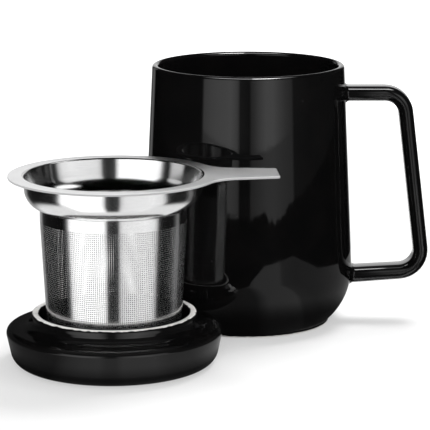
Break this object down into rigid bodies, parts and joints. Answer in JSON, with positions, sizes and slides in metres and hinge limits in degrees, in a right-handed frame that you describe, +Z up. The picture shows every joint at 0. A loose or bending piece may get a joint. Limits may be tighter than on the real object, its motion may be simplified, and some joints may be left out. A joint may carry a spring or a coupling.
{
  "type": "lidded tea mug with infuser",
  "caption": "Tall ceramic mug with a strap handle, its loose lid laid crown down beside it, and a perforated steel infuser standing in the lid's hollow.",
  "frame": {"origin": "centre of the mug's foot, on the plane it stands on", "axes": "+Z up out of the mug's mouth, +X from the mug's axis through the handle"},
  "size_m": [0.1843, 0.1677, 0.1166],
  "materials": {
    "glaze": "gloss black glaze on fired clay",
    "brushed_steel": "fine brushed stainless steel, polished below the flange",
    "polished_steel": "polished perforated stainless sheet"
  },
  "bodies": {
    "mug": {"mug_body": "glaze", "mug_handle": "glaze"},
    "lid": {"lid": "glaze"},
    "infuser": {"infuser_rim": "brushed_steel", "infuser_basket": "polished_steel", "infuser_base": "polished_steel"}
  },
  "joints": [
    {"name": "lid_lift", "type": "slide", "parent": "mug", "child": "lid", "axis": [0, 0, 1], "range_m": [0, 0.14]},
    {"name": "infuser_lift", "type": "slide", "parent": "lid", "child": "infuser", "axis": [0, 0, 1], "range_m": [0, 0.13]}
  ]
}
